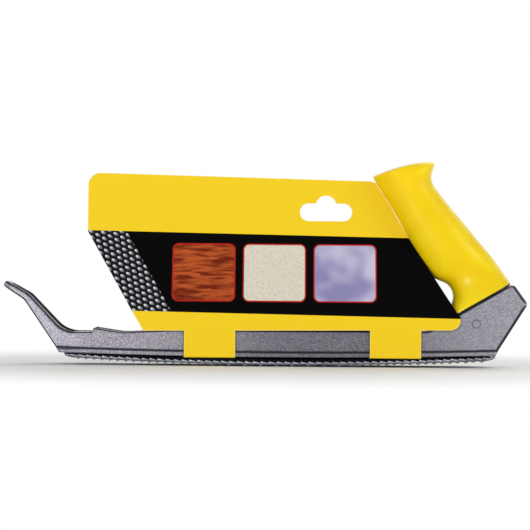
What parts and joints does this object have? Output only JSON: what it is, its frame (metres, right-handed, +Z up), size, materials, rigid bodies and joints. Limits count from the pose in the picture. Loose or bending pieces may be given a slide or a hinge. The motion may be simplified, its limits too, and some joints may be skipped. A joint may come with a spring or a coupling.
{
  "type": "rasp plane",
  "caption": "Hand rasp plane with a bowed perforated steel blade, cast body with an upswept front horn, moulded pistol grip and a folded card sleeve.",
  "frame": {"origin": "under the middle of the tool, on the surface that the lowest cutting teeth stand on", "axes": "+X from the front horn to the heel, +Y across the tool, away from the side that the picture shows, +Z up"},
  "size_m": [0.3104, 0.0444, 0.1228],
  "materials": {
    "hammertone_casting": "grey hammertone enamel over a zinc die casting",
    "yellow_grip": "glossy moulded plastic",
    "blade_steel": "bright punched steel",
    "plated_steel": "zinc plated",
    "printed_board": "printed and varnished board"
  },
  "bodies": {
    "tool": {"body_casting": "hammertone_casting", "grip": "yellow_grip", "grip_pin": "plated_steel", "screw_washer": "plated_steel", "card_front": "printed_board", "card_back": "printed_board"},
    "screw": {"draw_screw": "plated_steel", "screw_clip": "plated_steel"},
    "hook": {"draw_hook": "plated_steel", "hook_nut": "plated_steel"},
    "cutter": {"blade": "blade_steel"}
  },
  "joints": [
    {"name": "draw_screw_turn", "type": "hinge", "parent": "tool", "child": "screw", "pos_m": [-0.1088, 0, 0.0183], "axis": [0, 0, 1], "range_deg": [0, 1080]},
    {"name": "hook_lift", "type": "slide", "parent": "tool", "child": "hook", "axis": [0, 0, 1], "range_m": [-0.003, 0]},
    {"name": "blade_swing", "type": "hinge", "parent": "tool", "child": "cutter", "pos_m": [0.13028, 0, 0.01021], "axis": [0, 1, 0], "range_deg": [-0.70141, 0]}
  ],
  "couplings": [
    {"joint": "draw_screw_turn", "follows": "blade_swing", "ratio": -1539.6},
    {"joint": "hook_lift", "follows": "blade_swing", "m_per_rad": 0.24504}
  ]
}
